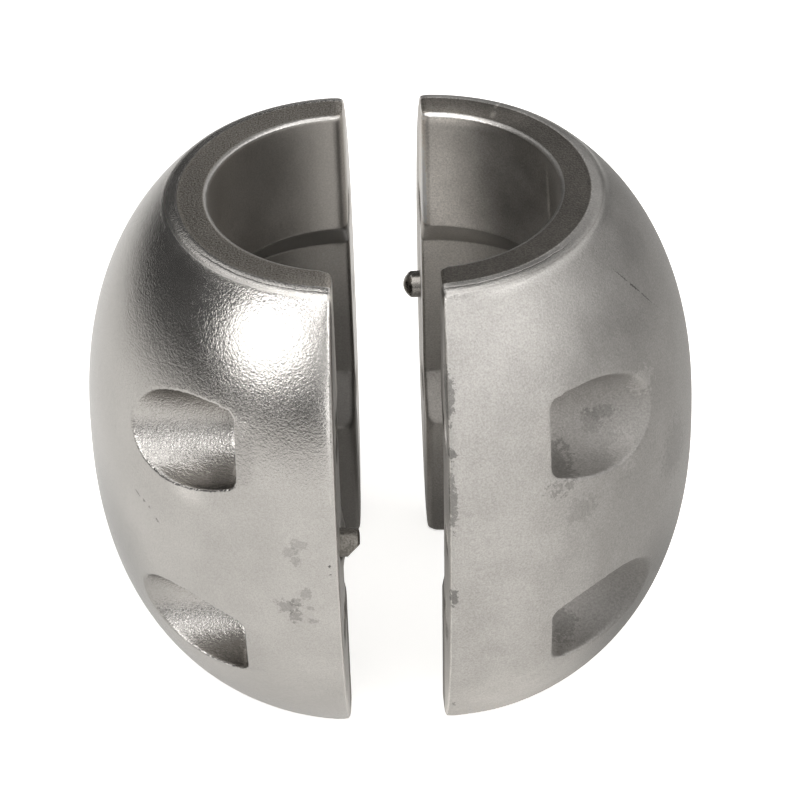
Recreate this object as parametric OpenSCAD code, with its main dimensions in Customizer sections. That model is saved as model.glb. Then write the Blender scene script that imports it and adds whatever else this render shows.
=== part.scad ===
// Sacrificial anode for a propeller shaft: a barrel-shaped zinc collar cast as two equal halves.
// The halves stand on their end rings, a little apart, with their parting faces towards each other.
// Each half carries a locating pin on one side of the shaft and the socket for its partner's pin on
// the other, so turning one half by 180 degrees about the shaft gives the other half.

/* [Barrel] */
// Largest diameter, at mid-height
barrel_d = 130; // [124:1:150]
// Height from one end ring to the other
barrel_h = 132; // [124:1:150]
// Diameter at which the barrel's curve would meet the flat ends
end_d = 84; // [78:1:92]
// Fullness of the barrel's curve: 2 is an ellipse, and more is squarer
fullness = 2.33; // [2:0.01:2.8]
// Radius of the rounding between the barrel and each flat end ring
lip_round = 6; // [2:0.5:8]

/* [Bore] */
// Diameter of the shaft that the two halves grip
shaft_d = 65; // [58:1:70]
// How far each parting face stops short of the shaft's axis, so that the bolts can pinch the shaft
pinch = 0.4; // [0:0.1:1]
// Depth of the relief behind the shaft, at mid-height
relief_depth = 9.5; // [4:0.5:11]
// Height of the relief where it has its full depth
relief_h = 41; // [24:1:46]
// Height of each slope between the relief and a gripping land
slope_h = 10.8; // [6:0.1:13]
// How far the middle of the relief sits above mid-height
relief_up = 1.2; // [0:0.1:3]
// Rounding of the bore's mouth at the upper end ring
upper_mouth_round = 0.8; // [0.4:0.1:3]
// Rounding of the bore's mouth at the lower end ring
lower_mouth_round = 1.2; // [0.4:0.1:3]
// Width of the chamfer where a gripping land meets the parting face
edge_break = 1.4; // [0.6:0.1:2]

/* [Bolts] */
// Diameter of the clamping bolts
bolt_d = 10; // [8:0.5:11]
// Clearance of the bolt holes, on the diameter
bolt_clearance = 0.5; // [0.2:0.1:1]
// Distance of the bolt lines outside the shaft's surface
bolt_off_shaft = 16.1; // [15:0.1:18]
// Distance of the bolt lines above and below mid-height
bolt_up = 28.3; // [27:0.1:32]
// Diameter of the round pocket that lets the bolt's head into the barrel
pocket_d = 24; // [20:0.5:27]
// Metal between a pocket's seat and the parting face
seat_wall = 24.8; // [20:0.2:30]
// Rounding of the corner between a pocket's wall and its seat
seat_round = 1.5; // [0.5:0.1:3]

/* [Locating pins] */
// Diameter of the steel locating pins
pin_d = 7; // [5:0.5:9]
// Distance of the pins and their sockets inside the barrel's largest diameter
pin_inset = 12; // [9:0.1:13]
// How far a pin stands out of its parting face
pin_proud = 4.2; // [3:0.1:6]
// Angle between a pin's tapered tip and its axis
pin_taper = 56; // [45:1:70]
// Radius of the rounded nose that ends the taper
pin_nose = 2; // [0.5:0.1:2.4]
// Length of a pin's shank inside the casting
pin_sunk = 9; // [6:0.5:14]
// Clearance of a socket all round its pin
socket_clearance = 0.3; // [0.1:0.05:0.6]
// Clearance of a socket beyond the pin's tip
socket_spare = 1; // [0.5:0.1:2]

/* [Stance] */
// Distance between the two parting faces, measured on the line between the shaft axes
gap = 21; // [12:0.5:40]
// Angle by which each half is turned towards the front
toe = 2.1; // [0:0.1:6]

/* [Hidden] */

// Facets of a whole turn, on large and on small round forms
large_fn = 128;
small_fn = 48;
// Steps along each half of the barrel's curve, and along each small rounding
barrel_steps = 14;
round_steps = 6;
// Overlap of cutting shapes past the surface that they cut
over = 1;

zinc = [0.70, 0.69, 0.67];
steel = [0.36, 0.36, 0.36];

barrel_r = barrel_d / 2;
end_r = end_d / 2;
half_h = barrel_h / 2;
shaft_r = shaft_d / 2;
relief_r = shaft_r + relief_depth;
relief_top = relief_up + relief_h / 2;
relief_foot = relief_up - relief_h / 2;
pocket_r = pocket_d / 2;
bolt_out = shaft_r + bolt_off_shaft;
bolt_hole_d = bolt_d + bolt_clearance;
pin_r = pin_d / 2;
pin_out = barrel_r - pin_inset;
socket_d = pin_d + 2 * socket_clearance;
socket_depth = pin_proud + socket_spare;

// Length of a pin's cone, and where the cone runs into the round nose
nose_r = pin_nose * cos(pin_taper);
nose_z = pin_proud - pin_nose * (1 - sin(pin_taper));
cone_h = (pin_r - nose_r) / tan(pin_taper);

// The barrel is a superellipse that reaches the end radius at the end plane
curve_h = half_h / pow(1 - pow(end_r / barrel_r, fullness), 1 / fullness);
function barrel_at(z) = barrel_r * pow(1 - pow(abs(z) / curve_h, fullness), 1 / fullness);

// Slope of the barrel at the end plane, as an angle below the flat ring, and the length that the
// lip's rounding takes from each side of that corner
slope_step = 0.5;
lip_angle = atan2(slope_step, barrel_at(half_h - slope_step) - end_r);
lip_take = lip_round * tan(lip_angle / 2);
ring_r = end_r - lip_take;
lip_z = half_h - lip_take * sin(lip_angle);

// Upper lip from the flat ring outwards, then the upper half of the barrel down to mid-height
lip_points = [
    for (i = [0:round_steps])
        let (a = i * lip_angle / round_steps)
            [ring_r + lip_round * sin(a), half_h - lip_round * (1 - cos(a))]
];
barrel_points = [
    for (i = [1:barrel_steps])
        let (z = lip_z * cos(90 * i / barrel_steps))
            [barrel_at(z), z]
];
upper_outside = concat(lip_points, barrel_points);
lower_outside = [
    for (i = [len(upper_outside) - 2:-1:0])
        [upper_outside[i][0], -upper_outside[i][1]]
];

// Quarter round at a mouth of the bore, side 1 for the upper mouth and -1 for the lower one
function mouth_points(radius, side) = [
    for (i = [0:round_steps])
        let (a = (side > 0 ? i : round_steps - i) * 90 / round_steps)
            [shaft_r + radius * (1 - cos(a)), side * (half_h - radius * (1 - sin(a)))]
];

// Wall of the bore from the foot upwards: land, slope, relief, slope, land
bore_points = concat(
    mouth_points(lower_mouth_round, -1),
    [
        [shaft_r, relief_foot - slope_h],
        [relief_r, relief_foot],
        [relief_r, relief_top],
        [shaft_r, relief_top + slope_h],
    ],
    mouth_points(upper_mouth_round, 1)
);

module section() {
    polygon(concat(upper_outside, lower_outside, bore_points));
}

// Round hole of the given depth, drilled outwards from the parting face
module drilling(y, z, diameter, depth) {
    translate([over, y, z])
        rotate([0, -90, 0])
            cylinder(h = depth + pinch + over, d = diameter, $fn = small_fn);
}

// Flat-seated pocket with a rounded corner, open to the outside
module pocket() {
    depth = barrel_r - seat_wall + over;
    rotate([0, -90, 0])
        rotate_extrude($fn = large_fn / 2)
            polygon(concat(
                [[0, depth], [0, 0]],
                [for (i = [0:round_steps])
                    let (a = i * 90 / round_steps)
                        [pocket_r - seat_round * (1 - sin(a)), seat_round * (1 - cos(a))]],
                [[pocket_r, depth]]
            ));
}

// One casting, in its own frame: the shaft's axis is Z, mid-height is zero and the metal is at
// negative X. Its pin is at the front and its socket at the back.
module casting() {
    reach = barrel_r + over;
    difference() {
        rotate_extrude($fn = large_fn) section();
        // parting face
        translate([-pinch, -reach, -half_h - over])
            cube([reach + pinch, 2 * reach, barrel_h + 2 * over]);
        // chamfers along the gripping lands
        for (y = [-1, 1])
            translate([-pinch, y * sqrt(pow(shaft_r, 2) - pow(pinch, 2)), -half_h - over])
                rotate([0, 0, 45])
                    translate([-edge_break / sqrt(2), -edge_break / sqrt(2), 0])
                        cube([edge_break * sqrt(2), edge_break * sqrt(2), barrel_h + 2 * over]);
        // bolt holes and pockets, front and back, above and below
        for (y = [-bolt_out, bolt_out], z = [-bolt_up, bolt_up]) {
            drilling(y, z, bolt_hole_d, seat_wall + over);
            translate([-pinch - seat_wall, y, z]) pocket();
        }
        // socket for the other half's pin
        drilling(pin_out, 0, socket_d, socket_depth);
        // seat of this half's own pin
        drilling(-pin_out, 0, pin_d, pin_sunk);
    }
}

// Round pin along X, in the casting's own frame, with a tapered tip and a round nose
module pin() {
    translate([-pinch, -pin_out, 0])
        rotate([0, 90, 0])
            rotate_extrude($fn = small_fn)
                polygon(concat(
                    [[0, -pin_sunk], [pin_r, -pin_sunk], [pin_r, nose_z - cone_h]],
                    [for (i = [0:round_steps])
                        let (a = pin_taper + (90 - pin_taper) * i / round_steps)
                            [pin_nose * cos(a), pin_proud - pin_nose * (1 - sin(a))]]
                ));
}

// Puts a casting's frame where its half stands: side -1 is the left half, 1 is the right
module stand(side) {
    translate([side * (gap / 2 - pinch), 0, half_h])
        rotate([0, 0, side * toe + (side > 0 ? 180 : 0)])
            children();
}

module left_half() {
    color(zinc) stand(-1) casting();
}

module right_half() {
    color(zinc) stand(1) casting();
}

module left_locating_pin() {
    color(steel) stand(-1) pin();
}

module right_locating_pin() {
    color(steel) stand(1) pin();
}

left_half();
right_half();
left_locating_pin();
right_locating_pin();
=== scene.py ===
import math

import bpy
from mathutils import Matrix, Vector


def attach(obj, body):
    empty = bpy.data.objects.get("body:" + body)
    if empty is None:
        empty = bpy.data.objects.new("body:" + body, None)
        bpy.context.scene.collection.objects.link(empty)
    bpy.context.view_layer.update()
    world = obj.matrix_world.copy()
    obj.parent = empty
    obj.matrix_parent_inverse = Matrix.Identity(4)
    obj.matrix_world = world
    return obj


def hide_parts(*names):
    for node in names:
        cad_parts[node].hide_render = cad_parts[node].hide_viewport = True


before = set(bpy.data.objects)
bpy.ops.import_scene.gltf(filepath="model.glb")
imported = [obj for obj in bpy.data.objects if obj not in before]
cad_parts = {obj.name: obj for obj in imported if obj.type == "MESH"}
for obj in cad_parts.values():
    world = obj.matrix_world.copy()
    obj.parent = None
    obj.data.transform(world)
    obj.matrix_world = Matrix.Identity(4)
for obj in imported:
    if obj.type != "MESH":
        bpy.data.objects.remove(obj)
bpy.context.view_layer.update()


# small helpers

def mm(*values):  # millimetres to metres
    return values[0] / 1000 if len(values) == 1 else Vector(values) / 1000


def onPlane(co, x):  # x in millimetres
    return abs(co.x - mm(x)) < 1e-6


def useOnly(obj):
    if bpy.context.object and bpy.context.object.mode != "OBJECT":
        bpy.ops.object.mode_set(mode="OBJECT")
    bpy.ops.object.select_all(action="DESELECT")
    obj.select_set(True)
    bpy.context.view_layer.objects.active = obj


def pick(obj, kind, test):  # leaves obj in edit mode, with what passes the test selected
    useOnly(obj)
    bpy.ops.object.mode_set(mode="EDIT")
    bpy.ops.mesh.select_mode(type=kind)
    bpy.ops.mesh.select_all(action="DESELECT")
    bpy.ops.object.mode_set(mode="OBJECT")
    mesh = obj.data
    points = mesh.vertices
    if kind == "VERT":
        for v in points:
            v.select = test(v.co)
    elif kind == "EDGE":
        for e in mesh.edges:
            e.select = test(points[e.vertices[0]].co, points[e.vertices[1]].co)
    else:
        for f in mesh.polygons:
            f.select = test(f.center, f.normal)
    bpy.ops.object.mode_set(mode="EDIT")


def applyModifier(obj, kind, **settings):
    useOnly(obj)
    modifier = obj.modifiers.new(kind.lower(), kind)
    for name, value in settings.items():
        setattr(modifier, name, value)
    bpy.ops.object.modifier_apply(modifier=modifier.name)


def bakePlace(obj):  # the place goes into the mesh, and the object stays at the origin
    useOnly(obj)
    bpy.ops.object.transform_apply(location=True, rotation=True, scale=True)


def weigh(obj, name, weight):  # vertex group from a function of the vertex's place and normal
    group = obj.vertex_groups.new(name=name)
    for v in obj.data.vertices:
        w = weight(v.co, v.normal)
        if w > 0.001:
            group.add([v.index], w, "REPLACE")
    return group


# camera

# distance in metres, angles in degrees, target in millimetres
view = dict(
    lens=196.45, sensor=36, distance=1.0918, near=0.05, azimuth=-0.286, elevation=36.88, roll=1.796,
    target=(2.311, 0.643, 67.96),
)


def placeCamera(c):
    az, el, roll = (math.radians(c[k]) for k in ("azimuth", "elevation", "roll"))
    back = Vector((math.cos(el) * math.sin(az), -math.cos(el) * math.cos(az), math.sin(el)))
    right = Vector((math.cos(az), math.sin(az), 0))
    turned = right * math.cos(roll) - back.cross(right) * math.sin(roll)
    up = back.cross(turned)
    bpy.ops.object.camera_add(location=mm(*c["target"]) + back * c["distance"])
    camera = bpy.context.object
    camera.name = "camera"
    camera.rotation_euler = Matrix((turned, up, back)).transposed().to_euler()
    camera.data.lens = c["lens"]
    camera.data.sensor_width = c["sensor"]
    camera.data.clip_start = c["near"]
    bpy.context.scene.camera = camera


placeCamera(view)
print("camera placed")


# the casting, in its own frame: shaft axis on Z, base at zero, metal at negative X, its pin in front

# in millimetres; barrel, end, shaft, holes, pockets and pins are diameters
casting = dict(
    barrel=130, height=132, end=84, fullness=2.33, lip=6, shaft=65, pinch=0.4,
    relief=9.5, reliefHeight=41, slope=10.8, reliefUp=1.2, upperMouth=0.8, lowerMouth=1.2, landChamfer=1.4,
    boltHole=10.5, boltOut=48.6, boltUp=28.3, pocket=24, seat=24.8, seatRound=1.5,
    pin=7, pinOut=53, pinSunk=9, socket=7.6, socketDepth=5.2, pinGap=0.12,
    lipPoints=6, barrelPoints=44, mouthPoints=5, steps=110, voxel=0.5, triangles=190000,
)
stance = dict(gap=21, toe=2.1)

# what the mould and later handling did to each half, in millimetres; a lean is how far the parting face
# stands out, at its front top, front foot, rear top and rear foot
leftCast = dict(
    side=-1, lean=(-1.15, -0.6, -0.15, 0.2), boss=1.1, edgeRounds=40, edgeReach=2.2, pocketRounds=0, ripple=2.2,
)
rightCast = dict(
    side=1, lean=(-0.7, 1.2, -0.65, 0.55), boss=0, edgeRounds=24, edgeReach=1.2, pocketRounds=9, ripple=3.5,
)
# the same on both: the lip's chamfer, fine line and crease as (radius, width, how far they stand out), and
# the mould's skin; every other pair says where something starts and where it is full
mouldMarks = dict(
    chamfer=(40.2, 0.55, 0.1), line=(41.25, 0.32, -0.05), crease=(44.1, 0.45, -0.02), lipUp=(62.5, 63.5),
    barrelOut=(44, 46), pocketRim=(1.5, 3), edgeFade=1, hammer=0.03, skinBehind=(0.8, 2.5), skinUp=(2, 5),
    leanBehind=(1.5, 12), leanTurn=(-20, 20), bossDown=5, bossWidth=5, bossOut=(47, 57),
)


def barrelRadius(c, z):  # radius of the barrel at a height from its middle
    full, big = c["fullness"], c["barrel"] / 2
    curve = c["height"] / 2 / (1 - (c["end"] / 2 / big) ** full) ** (1 / full)
    return big * (1 - (abs(z) / curve) ** full) ** (1 / full)


def castingOutline(c):  # closed outline of the section, in millimetres, as (radius, height above the base)
    half, end, shaft = c["height"] / 2, c["end"] / 2, c["shaft"] / 2
    angle = math.atan2(0.5, barrelRadius(c, half - 0.5) - end)  # of the barrel's side at the end
    take = c["lip"] * math.tan(angle / 2)
    ring, lipZ = end - take, half - take * math.sin(angle)
    upper = []
    for i in range(c["lipPoints"] + 1):
        turn = angle * i / c["lipPoints"]
        upper.append((ring + c["lip"] * math.sin(turn), half - c["lip"] * (1 - math.cos(turn))))
    for i in range(1, c["barrelPoints"] + 1):
        z = lipZ * math.cos(math.pi / 2 * i / c["barrelPoints"])
        upper.append((barrelRadius(c, z), z))
    lower = [(r, -z) for r, z in reversed(upper[:-1])]
    quarter = [math.pi / 2 * i / c["mouthPoints"] for i in range(c["mouthPoints"] + 1)]
    mouth = lambda size: [(shaft + size * (1 - math.cos(t)), half - size * (1 - math.sin(t))) for t in quarter]
    top, foot = c["reliefUp"] + c["reliefHeight"] / 2, c["reliefUp"] - c["reliefHeight"] / 2
    bore = [(r, -z) for r, z in reversed(mouth(c["lowerMouth"]))]
    bore += [(shaft, foot - c["slope"]), (shaft + c["relief"], foot)]
    bore += [(shaft + c["relief"], top), (shaft, top + c["slope"])]
    bore += mouth(c["upperMouth"])
    return [(r, z + half) for r, z in upper + lower + bore]


def drawOutline(points, name):  # a plane shrunk to its first point, then extruded from point to point
    first = Vector((0, -points[0][0], points[0][1])) / 1000
    bpy.ops.object.select_all(action="DESELECT")
    bpy.ops.mesh.primitive_plane_add(size=0.002, location=first)
    obj = bpy.context.object
    obj.name = name
    bakePlace(obj)
    bpy.ops.object.mode_set(mode="EDIT")
    bpy.ops.mesh.select_all(action="SELECT")
    bpy.ops.mesh.merge(type="CENTER")
    for (r0, z0), (r1, z1) in zip(points, points[1:]):
        step = (0, (r0 - r1) / 1000, (z1 - z0) / 1000)
        bpy.ops.mesh.extrude_region_move(TRANSFORM_OT_translate=dict(value=step))
    last = Vector((0, -points[-1][0], points[-1][1])) / 1000
    pick(obj, "VERT", lambda co: (co - first).length < 1e-6 or (co - last).length < 1e-6)
    bpy.ops.mesh.edge_face_add()
    bpy.ops.object.mode_set(mode="OBJECT")
    return obj


def drill(radius, start, end, y, z, vertices, seatRound=0):  # cutter along X, rounded where it starts
    bpy.ops.object.select_all(action="DESELECT")
    bpy.ops.mesh.primitive_cylinder_add(
        vertices=vertices, radius=mm(radius), depth=mm(abs(start - end)),
        location=mm((start + end) / 2, y, z), rotation=(0, math.pi / 2, 0))
    cutter = bpy.context.object
    bakePlace(cutter)
    if seatRound:
        pick(cutter, "EDGE", lambda a, b: onPlane(a, start) and onPlane(b, start))
        bpy.ops.mesh.bevel(offset=mm(seatRound), segments=5, profile=0.5)
        bpy.ops.object.mode_set(mode="OBJECT")
    return cutter


def makeCasting(c):
    half, face, before, outside = c["height"] / 2, -c["pinch"], 2, -70  # cutters start before the face
    obj = drawOutline(castingOutline(c), "casting")
    useOnly(obj)
    bpy.ops.object.mode_set(mode="EDIT")
    bpy.ops.mesh.select_all(action="SELECT")
    bpy.ops.mesh.spin(steps=c["steps"], angle=math.pi, center=(0, 0, 0), axis=(0, 0, 1))
    bpy.ops.mesh.select_all(action="SELECT")
    bpy.ops.mesh.remove_doubles(threshold=1e-7)
    bpy.ops.mesh.bisect(plane_co=(mm(face), 0, 0), plane_no=(1, 0, 0), use_fill=True, clear_outer=True)
    bpy.ops.mesh.select_all(action="SELECT")
    bpy.ops.mesh.normals_make_consistent(inside=False)
    bpy.ops.object.mode_set(mode="OBJECT")
    cutters = []
    for y in (-c["boltOut"], c["boltOut"]):
        for z in (half - c["boltUp"], half + c["boltUp"]):
            cutters.append(drill(c["boltHole"] / 2, before, face - c["seat"] - 1, y, z, 48))
            cutters.append(drill(c["pocket"] / 2, face - c["seat"], outside, y, z, 96, c["seatRound"]))
    cutters.append(drill(c["socket"] / 2, before, face - c["socketDepth"], c["pinOut"], half, 48))
    cutters.append(drill(c["pin"] / 2 + c["pinGap"], before, face - c["pinSunk"], -c["pinOut"], half, 48))
    shaft = math.sqrt((c["shaft"] / 2) ** 2 - c["pinch"] ** 2)
    bar = c["landChamfer"] * math.sqrt(2)
    for side in (-1, 1):  # square bars on edge, for the chamfers along the lands
        bpy.ops.object.select_all(action="DESELECT")
        bpy.ops.mesh.primitive_cube_add(
            size=1, location=mm(face, side * shaft, half), rotation=(0, 0, math.pi / 4),
            scale=mm(bar, bar, c["height"] + 4))
        bakePlace(bpy.context.object)
        cutters.append(bpy.context.object)
    for cutter in cutters:
        applyModifier(obj, "BOOLEAN", operation="DIFFERENCE", object=cutter, solver="EXACT")
        bpy.data.objects.remove(cutter)
    print("casting cut:", len(obj.data.polygons), "faces")
    applyModifier(obj, "REMESH", mode="VOXEL", voxel_size=mm(c["voxel"]), use_smooth_shade=True)
    applyModifier(obj, "SMOOTH", factor=0.5, iterations=2)
    print("casting remeshed:", len(obj.data.polygons), "faces")
    return obj


def standHalf(obj, side, c, s):
    turn = math.radians(side * s["toe"] + (180 if side > 0 else 0))
    obj.rotation_euler = (0, 0, turn)
    obj.location = (side * mm(s["gap"] / 2 - c["pinch"]), 0, 0)
    bakePlace(obj)


def thin(obj, triangles):
    count = sum(len(f.vertices) - 2 for f in obj.data.polygons)
    if count > triangles:
        applyModifier(obj, "DECIMATE", ratio=triangles / count)
    useOnly(obj)
    bpy.ops.object.shade_smooth()


def bell(x, width):
    return math.exp(-(x / width) ** 2)


def ramp(x, low, high):  # 0 below low, 1 above high, smooth between
    t = min(1, max(0, (x - low) / (high - low)))
    return t * t * (3 - 2 * t)


def pocketNearness(co, c):  # distance in millimetres from the nearest pocket's axis
    y, z = abs(co.y) * 1000 - c["boltOut"], abs(co.z * 1000 - c["height"] / 2) - c["boltUp"]
    return math.hypot(y, z)


def push(obj, name, weight, strength, direction="NORMAL", texture=None):
    weigh(obj, name, weight)
    settings = dict(vertex_group=name, strength=mm(strength), mid_level=0, direction=direction)
    if texture:
        settings.update(texture=texture, texture_coords="LOCAL", mid_level=0.5)
    applyModifier(obj, "DISPLACE", **settings)


def cloudTexture(name, size):
    texture = bpy.data.textures.new(name, "CLOUDS")
    texture.noise_scale = mm(size)
    texture.noise_depth = 1
    return texture


def finishCasting(obj, c, cast, marks):
    half, face = c["height"] / 2, -c["pinch"]
    radius = lambda co: math.hypot(co.x, co.y) * 1000
    behind = lambda co: face - co.x * 1000  # how far behind the parting face
    upper = lambda co: ramp(co.z * 1000 - half, *marks["lipUp"])
    outside = lambda co: ramp(radius(co), *marks["barrelOut"])
    # as cast, the corners round the parting face are dull, and the dull half's pockets too
    reach = cast["edgeReach"]
    weigh(obj, "faceEdge", lambda co, n: 1 - ramp(behind(co), reach, reach + marks["edgeFade"]))
    applyModifier(obj, "SMOOTH", factor=0.5, iterations=cast["edgeRounds"], vertex_group="faceEdge")
    if cast["pocketRounds"]:
        wall = lambda co: abs(pocketNearness(co, c) - c["pocket"] / 2)
        weigh(obj, "pocketRim", lambda co, n: (1 - ramp(wall(co), *marks["pocketRim"])) * outside(co))
        applyModifier(obj, "SMOOTH", factor=0.5, iterations=cast["pocketRounds"], vertex_group="pocketRim")
    # the lip: a narrow chamfer, a fine line and a round band that ends in a crease
    for name in ("chamfer", "line", "crease"):
        middle, width, proud = marks[name]
        push(obj, name, lambda co, n: upper(co) * bell(radius(co) - middle, width), proud)
    # the skin that the mould left, off the face and off the foot
    offFace = lambda co: ramp(behind(co), *marks["skinBehind"])
    offFoot = lambda co: ramp(co.z * 1000, *marks["skinUp"])
    skin = cloudTexture("skin", cast["ripple"])
    push(obj, "skin", lambda co, n: outside(co) * offFace(co) * offFoot(co), marks["hammer"], texture=skin)
    # the parting face leans, and metal stands up inwards of the pin
    frontTop, frontFoot, rearTop, rearFoot = cast["lean"]

    def lean(co):
        up = co.z * 1000 / c["height"]
        front = frontFoot + (frontTop - frontFoot) * up
        rear = rearFoot + (rearTop - rearFoot) * up
        toRear = ramp(-cast["side"] * co.y * 1000, *marks["leanTurn"])
        swell = cast["boss"] * bell(co.z * 1000 - half + marks["bossDown"], marks["bossWidth"])
        swell *= (1 - toRear) * (1 - ramp(radius(co), *marks["bossOut"]))
        return (front + (rear - front) * toRear + swell) * (1 - ramp(behind(co), *marks["leanBehind"]))

    most = max(abs(v) for v in cast["lean"])
    push(obj, "leanOut", lambda co, n: max(0, lean(co)) / most, most, "X")
    push(obj, "leanIn", lambda co, n: max(0, -lean(co)) / most, -most, "X")
    obj.vertex_groups.clear()


leftHalf = makeCasting(casting)
leftHalf.name = "left_casting"
rightHalf = leftHalf.copy()
rightHalf.data = leftHalf.data.copy()
rightHalf.name = "right_casting"
bpy.context.collection.objects.link(rightHalf)


# pins

# profile of the end from the shoulder to the nose: how far back from the end, and the radius
leftPinShape = dict(
    proud=3.75, lift=0, rounding=0.3, profile=((0.7, 3.5), (0.35, 3.3), (0.12, 2.9), (0, 2.2), (0, 0.02)),
    cut=((3.35, -53, 66), (0.72, -0.415, -0.555), 0.35),  # worn off aslant: a point, the way out and how far
)
rightPinShape = dict(
    proud=4.25, lift=0.25, rounding=0.5, cut=None,
    profile=(
        (1.9, 3.5), (1.5, 3.12), (1.1, 2.7), (0.75, 2.25), (0.44, 1.75), (0.22, 1.25), (0.07, 0.7), (0, 0.02)),
)


def makePin(c, shape, name):
    half, radius = c["height"] / 2 + shape["lift"], c["pin"] / 2
    end = -c["pinch"] + shape["proud"]
    profile = [(end - back, r) for back, r in shape["profile"]]
    inner, shoulder = -c["pinch"] - c["pinSunk"], profile[0][0]
    bpy.ops.object.select_all(action="DESELECT")
    bpy.ops.mesh.primitive_cylinder_add(
        vertices=64, radius=mm(radius), depth=mm(shoulder - inner),
        location=mm((shoulder + inner) / 2, -c["pinOut"], half), rotation=(0, math.pi / 2, 0))
    pin = bpy.context.object
    pin.name = name
    bakePlace(pin)
    pick(pin, "FACE", lambda centre, normal: normal.x > 0.99)
    for (x0, r0), (x1, r1) in zip(profile, profile[1:]):
        bpy.ops.mesh.extrude_region_move(TRANSFORM_OT_translate=dict(value=(mm(x1 - x0), 0, 0)))
        bpy.ops.transform.resize(value=(1, r1 / r0, r1 / r0), center_override=mm(0, -c["pinOut"], half))
    bpy.ops.object.mode_set(mode="OBJECT")
    pick(pin, "EDGE", lambda a, b: onPlane(a, shoulder) and onPlane(b, shoulder))
    bpy.ops.mesh.bevel(offset=mm(shape["rounding"]), segments=4)
    if shape["cut"]:
        point, normal, reach = shape["cut"]
        away = Vector(normal).normalized()
        bpy.ops.mesh.select_all(action="SELECT")
        bpy.ops.mesh.bisect(plane_co=mm(*point) + away * mm(reach), plane_no=away, use_fill=True, clear_outer=True)
    bpy.ops.object.mode_set(mode="OBJECT")
    useOnly(pin)
    bpy.ops.object.shade_smooth_by_angle(angle=math.radians(35))
    return pin


leftPin = makePin(casting, leftPinShape, "left_pin")
rightPin = makePin(casting, rightPinShape, "right_pin")


# how a vertex of the parting face looks and lies, and how far out and in a pocket's vertices lie
zoneLimits = dict(faceNormal=(0.45, 0.8), faceIn=(-3, -2), pocketOut=(-0.1, 0.7), pocketIn=(20, 22))


def markZones(obj, c, limits):  # what each vertex belongs to: red for the parting face, green for the pockets
    zones = obj.data.color_attributes.new("zones", "FLOAT_COLOR", "POINT")
    for v, colour in zip(obj.data.vertices, zones.data):
        face = ramp(v.normal.x, *limits["faceNormal"]) * ramp(v.co.x * 1000, *limits["faceIn"])
        pocket = 1 - ramp(pocketNearness(v.co, c) - c["pocket"] / 2, *limits["pocketOut"])
        pocket *= ramp(-v.co.x * 1000, *limits["pocketIn"])
        colour.color = (face, pocket, 0, 1)


for half, pin, cast in ((leftHalf, leftPin, leftCast), (rightHalf, rightPin, rightCast)):
    finishCasting(half, casting, cast, mouldMarks)
    thin(half, casting["triangles"])
    markZones(half, casting, zoneLimits)
    standHalf(half, cast["side"], casting, stance)
    standHalf(pin, cast["side"], casting, stance)
print("halves stand:", len(leftHalf.data.polygons), len(rightHalf.data.polygons), "faces")


# materials

def linear(text):  # sRGB hex to linear colour
    values = [int(text[i:i + 2], 16) / 255 for i in (1, 3, 5)]
    return tuple(v / 12.92 if v <= 0.04045 else ((v + 0.055) / 1.055) ** 2.4 for v in values) + (1,)


# adds a node; values that are sockets are linked, and the output out comes back
def addNode(tree, kind, values=None, out=0, **settings):
    node = tree.nodes.new(kind)
    for name, value in settings.items():
        setattr(node, name, value)
    for name, value in (values or {}).items():
        if isinstance(value, bpy.types.NodeSocket):
            tree.links.new(value, node.inputs[name])
        else:
            node.inputs[name].default_value = value
    return node.outputs[out]


def newMaterial(name):
    material = bpy.data.materials.new(name)
    material.use_nodes = True
    tree = material.node_tree
    return material, tree, tree.nodes["Principled BSDF"]


def fromCasting(tree, side):  # millimetres in the casting's own frame, from mid-height
    turn = math.radians(side * stance["toe"] + (180 if side > 0 else 0))
    stand = (side * mm(stance["gap"] / 2 - casting["pinch"]), 0, mm(casting["height"] / 2))
    place = addNode(tree, "ShaderNodeTexCoord", out="Object")
    return addNode(
        tree, "ShaderNodeMapping",
        {"Vector": place, "Location": stand, "Rotation": (0, 0, turn), "Scale": (0.001, 0.001, 0.001)},
        vector_type="TEXTURE")


softRim = dict(inner=0.3, outer=1)
raggedRim = dict(inner=2.2, outer=2.5, raggedness=3)


def spot(tree, place, centre, size, turn=(0, 0, 0), rag=None):  # 1 inside an ellipsoid, its rim soft or ragged
    local = addNode(
        tree, "ShaderNodeMapping", {"Vector": place, "Location": centre, "Rotation": turn, "Scale": size},
        vector_type="TEXTURE")
    away = addNode(tree, "ShaderNodeVectorMath", {0: local}, "Value", operation="LENGTH")
    rim = softRim
    if rag:
        rim = raggedRim
        away = addNode(tree, "ShaderNodeMath", {0: rag, 1: rim["raggedness"], 2: away}, operation="MULTIPLY_ADD")
    return addNode(
        tree, "ShaderNodeMapRange",
        {"Value": away, "From Min": rim["inner"], "From Max": rim["outer"], "To Min": 1, "To Max": 0},
        interpolation_type="SMOOTHSTEP")


def scratch(tree, place, start, end, width, rag):  # a thin spot from start to end
    start, end = Vector(start), Vector(end)
    along = end - start
    size = (along.length / 2, width, width)
    return spot(tree, place, (start + end) / 2, size, along.to_track_quat("X", "Z").to_euler(), rag)


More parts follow.
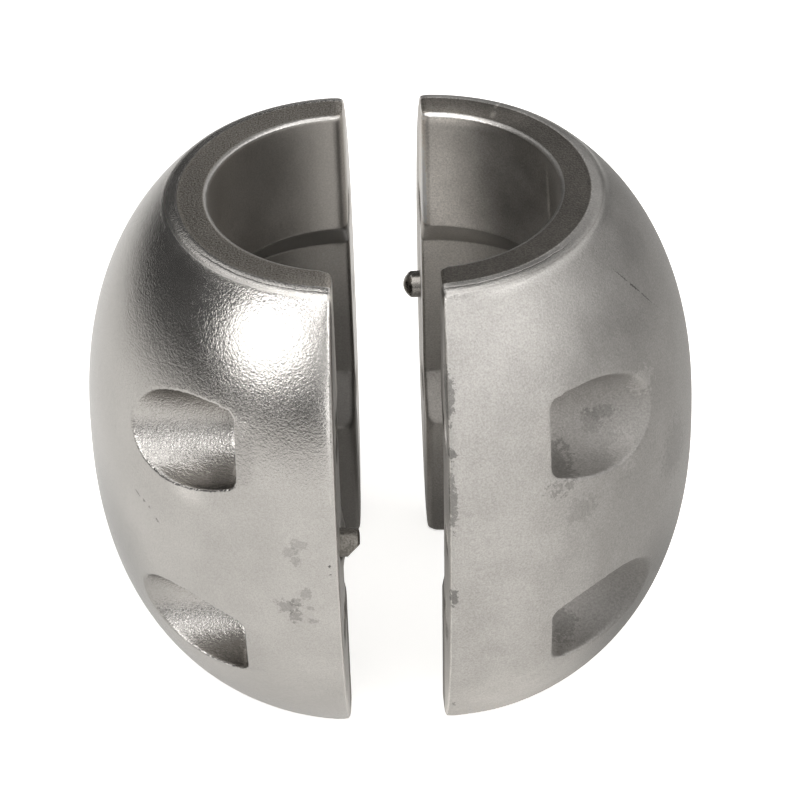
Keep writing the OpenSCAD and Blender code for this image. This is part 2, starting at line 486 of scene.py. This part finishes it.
# where the casting's parts lie, in millimetres: radii, heights from mid-height and softness of the border
borders = dict(
    ring=(33.6, 39.9, 65.4, 70, 0.2), bore=(0, 42.9, -1, 65.1, 0.2), rim=(30, 33.8, 64.8, 70, 0.3),
    lip=(40, 44.6, 62.6, 70, 0.8), barrel=(44, 90, 1),
)
boreBorders = dict(slope=(21.6, 32.6, 0.4), deep=(-80, 8, 14), relief=(-80, 21.6, 0.4))
lipLines = dict(
    line=(41.75, 41.95, 0.1), lineHeight=(64.4, 67, 0.2), front=(22, 30), depth=0.08,
    edge=(40.35, 40.75, 0.12), edgeHeight=(65, 67, 0.2), dots=(0.5, 1, 0.05), wander=0.9,
)


def castZinc(name, look):
    material, tree, shader = newMaterial(name)
    add = lambda kind, values=None, out=0, **settings: addNode(tree, kind, values, out, **settings)

    def within(value, low, high, soft, inside=1):  # a mask between two values, inside another mask
        above = add(
            "ShaderNodeMapRange",
            {"Value": value, "From Min": low - soft, "From Max": low + soft, "To Max": inside},
            interpolation_type="SMOOTHSTEP")
        return add(
            "ShaderNodeMapRange",
            {"Value": value, "From Min": high - soft, "From Max": high + soft, "To Min": above, "To Max": 0},
            interpolation_type="SMOOTHSTEP")

    place = fromCasting(tree, look["side"])
    zones = add("ShaderNodeAttribute", out="Color", attribute_name="zones", attribute_type="GEOMETRY")
    zones = add("ShaderNodeSeparateColor", {"Color": zones}).node.outputs
    face, pocket = zones["Red"], zones["Green"]
    axes = add("ShaderNodeSeparateXYZ", {"Vector": place}).node.outputs
    flat = add("ShaderNodeVectorMath", {0: place, 1: (1, 1, 0)}, operation="MULTIPLY")
    radius = add("ShaderNodeVectorMath", {0: flat}, "Value", operation="LENGTH")
    level = add("ShaderNodeMath", {0: axes["Z"]}, operation="ABSOLUTE")
    out = add("ShaderNodeMath", {0: axes["X"], 1: -1}, operation="MULTIPLY")
    # cloudy patches, sand grain, crinkle, the lip lines' wandering and the ragged rims of the stains
    cloud = add("ShaderNodeTexNoise", {"Vector": place, "Scale": 1 / look["cloud"], "Detail": 4})
    sand = add("ShaderNodeTexNoise", {"Vector": place, "Scale": 1 / look["sand"], "Detail": 2, "Roughness": 0.6})
    crinkle = add("ShaderNodeTexNoise", {
        "Vector": place, "Scale": 1 / look["crinkle"], "Detail": 3, "Roughness": 0.6, "Distortion": 0.3})
    wander = add("ShaderNodeTexNoise", {"Vector": place, "Scale": 1 / look["wander"], "Detail": 3, "Roughness": 0.6})
    rag = add("ShaderNodeTexNoise", {"Vector": place, "Scale": 1 / look["rag"], "Detail": 3, "Roughness": 0.7})

    # the end rings, the bore with its slope and lower part, the rims of the mouths, the lip, the outer side
    masks = {}
    for part, height in (("ring", level), ("bore", level), ("rim", level), ("lip", axes["Z"])):
        inner, outer, foot, top, soft = borders[part]
        masks[part] = within(height, foot, top, soft, within(radius, inner, outer, soft))
    for part, (foot, top, soft) in boreBorders.items():
        masks[part] = within(axes["Z"], foot, top, soft, masks["bore"])
    low, high = look["limb"]
    masks["limb"] = add(
        "ShaderNodeMapRange",
        {"Value": out, "From Min": low, "From Max": high, "To Max": within(radius, *borders["barrel"])},
        interpolation_type="SMOOTHSTEP")
    # a fine line wanders round the lip at the front, darkened as painted shade in its groove, and a dotted line of
    # painted highlight follows the ring's edge
    away = add("ShaderNodeMath", {0: wander, 1: lipLines["wander"], 2: radius}, operation="MULTIPLY_ADD")
    low, high = (look["side"] * y for y in lipLines["front"])
    front = add("ShaderNodeMapRange", {"Value": axes["Y"], "From Min": low, "From Max": high})
    masks["line"] = within(axes["Z"], *lipLines["lineHeight"], within(away, *lipLines["line"], front))
    edge = within(axes["Z"], *lipLines["edgeHeight"], within(away, *lipLines["edge"]))
    masks["edge"] = within(sand, *lipLines["dots"], edge)
    masks.update(face=face, pocket=pocket)

    # colour: sand grain, then painted light and shade by part, stains, painted light and shade in patches, and
    # scratches, each by its own share
    grain = add("ShaderNodeMapRange", {"Value": sand, "From Min": 0.3, "From Max": 0.7, "To Min": -1, "To Max": 1})
    depth = add("ShaderNodeMath", {0: masks["ring"], 1: look["ringGrain"] - look["grain"], 2: look["grain"]},
                operation="MULTIPLY_ADD")
    tone = add("ShaderNodeMath", {0: grain, 1: depth, 2: 1}, operation="MULTIPLY_ADD")
    shares = [(masks[part], amount) for part, amount in look["paintedShadingByPart"].items()]
    shares += [(spot(tree, place, centre, size, rag=rag), amount) for centre, size, amount in look["stains"]]
    shares += [(spot(tree, place, centre, size), amount) for centre, size, amount in look["paintedShadingPatches"]]
    shares += [(scratch(tree, place, start, end, width, sand), amount)
               for start, end, width, amount in look["scratches"]]
    for mask, amount in shares:
        share = add("ShaderNodeMath", {0: mask, 1: amount - 1, 2: 1}, operation="MULTIPLY_ADD")
        tone = add("ShaderNodeMath", {0: tone, 1: share}, operation="MULTIPLY")
    patch = add("ShaderNodeMapRange", {"Value": cloud, "From Min": 0.3, "From Max": 0.7},
                interpolation_type="SMOOTHSTEP")
    colour = add("ShaderNodeMix", {0: patch, 6: linear(look["dark"]), 7: linear(look["light"])}, 2, data_type="RGBA")
    colour = add("ShaderNodeMix", {0: 1, 6: colour, 7: tone}, 2, data_type="RGBA", blend_type="MULTIPLY")
    # a faint warm tint over the end rings, and at a share of it in the bore
    warmTint = add("ShaderNodeMath", {0: masks["bore"], 1: look["boreWarmTint"], 2: masks["ring"]},
                operation="MULTIPLY_ADD", use_clamp=True)
    colour = add("ShaderNodeMix", {0: warmTint, 6: colour, 7: linear(look["warmTint"])}, 2,
                 data_type="RGBA", blend_type="MULTIPLY")
    tree.links.new(colour, shader.inputs["Base Color"])

    low, high = look["rough"]
    rough = add("ShaderNodeMapRange", {"Value": patch, "To Min": low, "To Max": high})
    for part, extra in look["roughs"].items():
        rough = add("ShaderNodeMath", {0: masks[part], 1: extra, 2: rough}, operation="MULTIPLY_ADD")
    tree.links.new(rough, shader.inputs["Roughness"])

    # relief in millimetres: crinkle, calm in the bore and lively in the pockets, then sand and the fine line
    fold, sandy = look["crinkleRelief"], look["sandRelief"]
    folds = add("ShaderNodeMath", {0: masks["bore"], 1: -look["boreCalm"] * fold, 2: fold}, operation="MULTIPLY_ADD")
    folds = add("ShaderNodeMath", {0: pocket, 1: look["pocketCrinkle"] * fold, 2: folds}, operation="MULTIPLY_ADD")
    height = add("ShaderNodeMath", {0: crinkle, 1: folds}, operation="MULTIPLY")
    grit = add("ShaderNodeMath", {0: masks["ring"], 1: look["ringRelief"] * sandy, 2: sandy},
               operation="MULTIPLY_ADD")
    height = add("ShaderNodeMath", {0: sand, 1: grit, 2: height}, operation="MULTIPLY_ADD")
    height = add("ShaderNodeMath", {0: masks["line"], 1: -lipLines["depth"], 2: height}, operation="MULTIPLY_ADD")
    bump = add("ShaderNodeBump", {"Strength": 1, "Distance": mm(1), "Height": height})
    tree.links.new(bump, shader.inputs["Normal"])
    shader.inputs["Metallic"].default_value = 1
    return material


# As-cast zinc: a grey metal with a crinkled skin from the mould. Pattern sizes are in millimetres; sand and
# crinkle are drawn about twice as coarse as they are, so that they show. The tones by part are painted light
# and shade. Stains and patches of painted light and shade are (centre, size, share of the tone) and scratches
# (start, end, width, share), from the shaft's axis and mid-height.
# The left half's skin is still bright, which gives sharp glints on the crinkle.
brightSkin = dict(
    side=-1, dark="#A7A4A0", light="#AFACA8", warmTint="#FFFAF3", boreWarmTint=0.3,
    cloud=16, sand=0.4, crinkle=0.6, wander=3, rag=1.3, grain=0.11, ringGrain=0.6, rough=(0.2, 0.25), limb=(30, 60),
    # painted light and shade by part: each part lighter or darker by how light falls on it, the dotted edge a painted
    # highlight, the fine line darkened as painted shade in its groove
    paintedShadingByPart=dict(
        ring=0.78, bore=1.08, slope=0.42, deep=0.55, relief=0.72, limb=1.05, pocket=0.95, face=1.5, rim=1.25,
        lip=1.15, line=0.35, edge=1.8),
    roughs=dict(ring=0.1, bore=0.2, face=0.15, lip=0.02, rim=0.12),
    crinkleRelief=0.09, pocketCrinkle=0.8, boreCalm=0.7, sandRelief=0.014, ringRelief=2,
    stains=[
        ((-14.2, -63.2, -11.3), (3.2, 3, 2.4), 0.72), ((-12.2, -63.4, -14.3), (1.5, 3, 2.6), 0.7),
        ((-12, -63.5, -10), (1.6, 3, 1.6), 0.75), ((-9.6, -64.2, -6.6), (1.9, 3, 1.6), 0.78),
        ((-8.3, -63.9, -15.3), (1.3, 3, 0.9), 0.78), ((-8.6, -64, -11), (1.2, 3, 0.8), 0.8),
        ((-12.8, -63.7, 5.6), (2, 3, 1.5), 0.82), ((-10.7, -64, 8), (2, 3, 1.8), 0.82),
        ((-11.8, -63.8, 3.2), (1.2, 3, 1.8), 0.8),
    ],
    # painted light and shade in patches: shade low on the outer side, a highlight on the lip's front, light on the
    # front of the barrel above mid-height and in the lower part of the upper front pocket
    paintedShadingPatches=[
        ((-58, -22, -30), (24, 30, 42), 0.68), ((-8, -42, 65), (24, 9, 7), 1.25),
        ((-20, -54, 43), (26, 14, 12), 1.22), ((-36, -49, 16), (7, 9, 6), 1.3),
    ],
    scratches=[
        ((-51.3, -39.7, 6.8), (-49.9, -41.5, 5.9), 0.35, 0.55), ((-49.4, -42.2, 5.6), (-48.6, -43, 5.2), 0.4, 0.5),
        ((-47.8, -44, 4.8), (-47.2, -44.6, 4.1), 0.3, 0.6), ((-46.3, -45.6, 2.8), (-45.2, -46.7, 1.3), 0.4, 0.55),
        ((-3.6, -64.9, 2.6), (-3.6, -64.9, 1.8), 0.4, 0.3), ((-3.4, -64.9, 0), (-3.4, -64.9, -0.6), 0.35, 0.3),
        ((-2.8, -63.2, 23.9), (-2.7, -63.8, 19.8), 0.2, 1.15),
    ])
# the right half's skin has gone dull and sandy, which spreads the highlights
dullSkin = dict(
    side=1, dark="#A5A29E", light="#B0ADA9", warmTint="#FFFAF3", boreWarmTint=0.3,
    cloud=10, sand=0.45, crinkle=0.6, wander=3, rag=1.3, grain=0.15, ringGrain=0.3, rough=(0.52, 0.58), limb=(16, 48),
    # painted light and shade by part: rings, bore, slope, lower bore, rim and outer side darker as painted shade;
    # face, pockets, relief wall and dotted edge lighter as painted light
    paintedShadingByPart=dict(
        ring=0.38, bore=0.66, slope=0.6, deep=0.72, relief=1.05, limb=0.66, pocket=1.1, face=1.6, rim=0.85,
        lip=0.98, line=0.35, edge=1.3),
    roughs=dict(ring=-0.15, pocket=0.15, lip=-0.2, rim=-0.1),
    crinkleRelief=0.06, pocketCrinkle=0.4, boreCalm=0.7, sandRelief=0.07, ringRelief=0.5,
    stains=[
        ((-1.3, 56.5, 45), (1.5, 12, 6), 0.55), ((-1.1, 61.5, 32), (1.4, 2, 1.3), 0.5),
        ((-1.1, 63.5, 20), (1.2, 3, 9), 0.6), ((-1, 64.7, -8.8), (1.2, 3, 3.2), 0.5),
        ((-0.9, 50, -52), (1, 4, 2), 0.6), ((-38.8, 37.5, 23.7), (4, 3, 2), 0.8), ((-36.5, 38, 22), (3, 3, 3), 0.85),
        ((-27, 50, 17.5), (5, 12, 3), 0.72), ((-28.8, 42, -38), (4, 8, 3), 0.75), ((-49, 37, 32), (4, 5, 4), 1.22),
        ((-44, 44, 18), (4, 5, 6), 1.15), ((-32, 56, 9), (5, 4, 3.5), 0.86), ((-58, 30, 6), (6, 8, 9), 0.86),
    ],
    # painted light and shade in patches: a reflection, up to 2.9 times lighter, by the bore beside the rear parting
    # face; a reflection of the floor at the front foot; shade low on the outer side; a highlight on the rear of the
    # top mouth's rim
    paintedShadingPatches=[
        ((-2, -33, 14), (24, 17, 80), 2.9), ((-12, 52, -62), (30, 24, 34), 1.2), ((-54, 34, -42), (28, 32, 34), 0.64),
        ((-5, -29, 66), (30, 8, 4), 1.7),
    ],
    scratches=[
        ((-43.2, 25.7, 56.8), (-46.6, 25.2, 52.8), 0.22, 0.5), ((-46.6, 25.2, 52.8), (-49.6, 24.1, 48.9), 0.3, 0.4),
        ((-49.6, 24.1, 48.9), (-52.2, 22.9, 45.1), 0.22, 0.5), ((-52.2, 22.9, 45.1), (-57.1, 18.5, 37.2), 0.2, 0.7),
        ((-18.2, -29, 66), (-19.2, -32.5, 66), 0.8, 1.9), ((-19.2, -33.5, 66), (-20.9, -36.1, 65.6), 0.6, 2.1),
        # the last is a pale streak down the bore wall
        ((-30.3, -11.8, 62), (-30.8, -10.4, 47), 0.9, 1.7),
    ])
brightZinc = castZinc("bright_cast_zinc", brightSkin)
dullZinc = castZinc("dull_cast_zinc", dullSkin)


# hardened dowel steel: dark and smooth where it isn't worn, so it mirrors the room in a few sharp streaks
def darkSteel(name, look):
    material, tree, shader = newMaterial(name)
    place = fromCasting(tree, look["side"])
    wear = addNode(tree, "ShaderNodeTexNoise", {
        "Vector": place, "Scale": 1 / look["grain"], "Detail": 3, "Roughness": 0.6})
    worn = addNode(tree, "ShaderNodeMapRange", {"Value": wear, "From Min": 0.3, "From Max": 0.7},
                   interpolation_type="SMOOTHSTEP")
    colour = addNode(tree, "ShaderNodeMix", {0: worn, 6: linear(look["dark"]), 7: linear(look["light"])}, 2,
                     data_type="RGBA")
    tree.links.new(colour, shader.inputs["Base Color"])
    low, high = look["rough"]
    rough = addNode(tree, "ShaderNodeMapRange", {"Value": worn, "To Min": low, "To Max": high})
    tree.links.new(rough, shader.inputs["Roughness"])
    bump = addNode(tree, "ShaderNodeBump", {"Strength": 1, "Distance": mm(look["relief"]), "Height": wear})
    tree.links.new(bump, shader.inputs["Normal"])
    shader.inputs["Metallic"].default_value = 1
    return material


# the left pin's steel is darker than the right pin's, partly as painted shade for its place between the halves, and
# rougher where it is worn
wornShadedSteel = dict(side=-1, grain=0.5, dark="#5A5752", light="#85817B", rough=(0.4, 0.55), relief=0.07)
smoothSteel = dict(side=1, grain=1.5, dark="#86827D", light="#928E89", rough=(0.22, 0.3), relief=0.01)
leftSteel = darkSteel("worn_shaded_pin_steel", wornShadedSteel)
rightSteel = darkSteel("dark_pin_steel", smoothSteel)
for piece, material, node, slot in (
    (leftHalf, brightZinc, "left_half", "cast_zinc"), (rightHalf, dullZinc, "right_half", "cast_zinc"),
    (leftPin, leftSteel, "left_locating_pin", "pin_steel"), (rightPin, rightSteel, "right_locating_pin", "pin_steel"),
):
    piece.data.materials.clear()
    piece.data.materials.append(material)
    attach(piece, "root")
    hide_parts(node)
print("pieces dressed")


# floor and light

# soft boxes by azimuth from the camera's side (minus is left), height and spread in degrees, seen from the
# object; level 1 is white
studio = dict(
    floor="#F4F3F1", floorRough=0.9, floorShine=0.1, floorSize=6, floorGlow=0.75, mirroredGlow=0.14, world=0.09,
    distance=1.5,
    boxes=dict(
        key=dict(azimuth=-45, height=33, wide=28, tall=22, level=8),
        highFront=dict(azimuth=-15, height=57, wide=30, tall=26, level=2.9),
        highLeft=dict(azimuth=-120, height=57, wide=60, tall=26, level=1.3),
        highRight=dict(azimuth=60, height=57, wide=60, tall=26, level=1.2),
        overhead=dict(azimuth=0, height=84, wide=90, tall=24, level=2.8),
        front=dict(azimuth=0, height=32, wide=60, tall=24, level=1.0),
        right=dict(azimuth=45, height=32, wide=30, tall=24, level=4.5),
        side=dict(azimuth=90, height=32, wide=60, tall=24, level=1.45),
        rear=dict(azimuth=150, height=32, wide=60, tall=24, level=0.8),
        low=dict(azimuth=15, height=10, wide=30, tall=20, level=2.5),
    ),
)


def makeStudio(s):
    bpy.ops.object.select_all(action="DESELECT")
    bpy.ops.mesh.primitive_plane_add(size=s["floorSize"], location=(0, 0, 0))
    floor = bpy.context.object
    floor.name = "floor"
    material, tree, shader = newMaterial("pale_floor")
    shader.inputs["Base Color"].default_value = linear(s["floor"])
    shader.inputs["Roughness"].default_value = s["floorRough"]
    shader.inputs["Specular IOR Level"].default_value = s["floorShine"]
    # the floor glows a little for the camera and in what the metal mirrors, so that it looks white
    rays = addNode(tree, "ShaderNodeLightPath").node.outputs
    seen = addNode(tree, "ShaderNodeMath", {0: rays["Is Camera Ray"], 1: s["floorGlow"]}, operation="MULTIPLY")
    mirrored = addNode(tree, "ShaderNodeMath", {0: rays["Is Glossy Ray"], 1: rays["Is Transmission Ray"]},
                       operation="MAXIMUM")
    glow = addNode(tree, "ShaderNodeMath", {0: mirrored, 1: s["mirroredGlow"], 2: seen}, operation="MULTIPLY_ADD")
    shader.inputs["Emission Color"].default_value = linear(s["floor"])
    tree.links.new(glow, shader.inputs["Emission Strength"])
    floor.data.materials.append(material)
    reach = s["distance"]
    for name, box in s["boxes"].items():
        az, el = math.radians(box["azimuth"]), math.radians(box["height"])
        out = Vector((math.cos(el) * math.sin(az), -math.cos(el) * math.cos(az), math.sin(el)))
        bpy.ops.object.light_add(type="AREA", location=out * reach + mm(0, 0, casting["height"] / 2))
        light = bpy.context.object
        light.name = name + "_light"
        light.rotation_euler = out.to_track_quat("Z", "Y").to_euler()
        light.data.shape = "RECTANGLE"
        light.data.size = 2 * reach * math.tan(math.radians(box["wide"] / 2)) * max(math.cos(el), 0.4)
        light.data.size_y = 2 * reach * math.tan(math.radians(box["tall"] / 2))
        light.data.energy = math.pi * light.data.size * light.data.size_y * box["level"]
    world = bpy.data.worlds.new("studio")
    bpy.context.scene.world = world
    world.use_nodes = True
    background = world.node_tree.nodes["Background"]
    background.inputs["Color"].default_value = (s["world"], s["world"], s["world"], 1)


makeStudio(studio)
bpy.context.scene.view_settings.view_transform = "Standard"
print("floor and light placed")
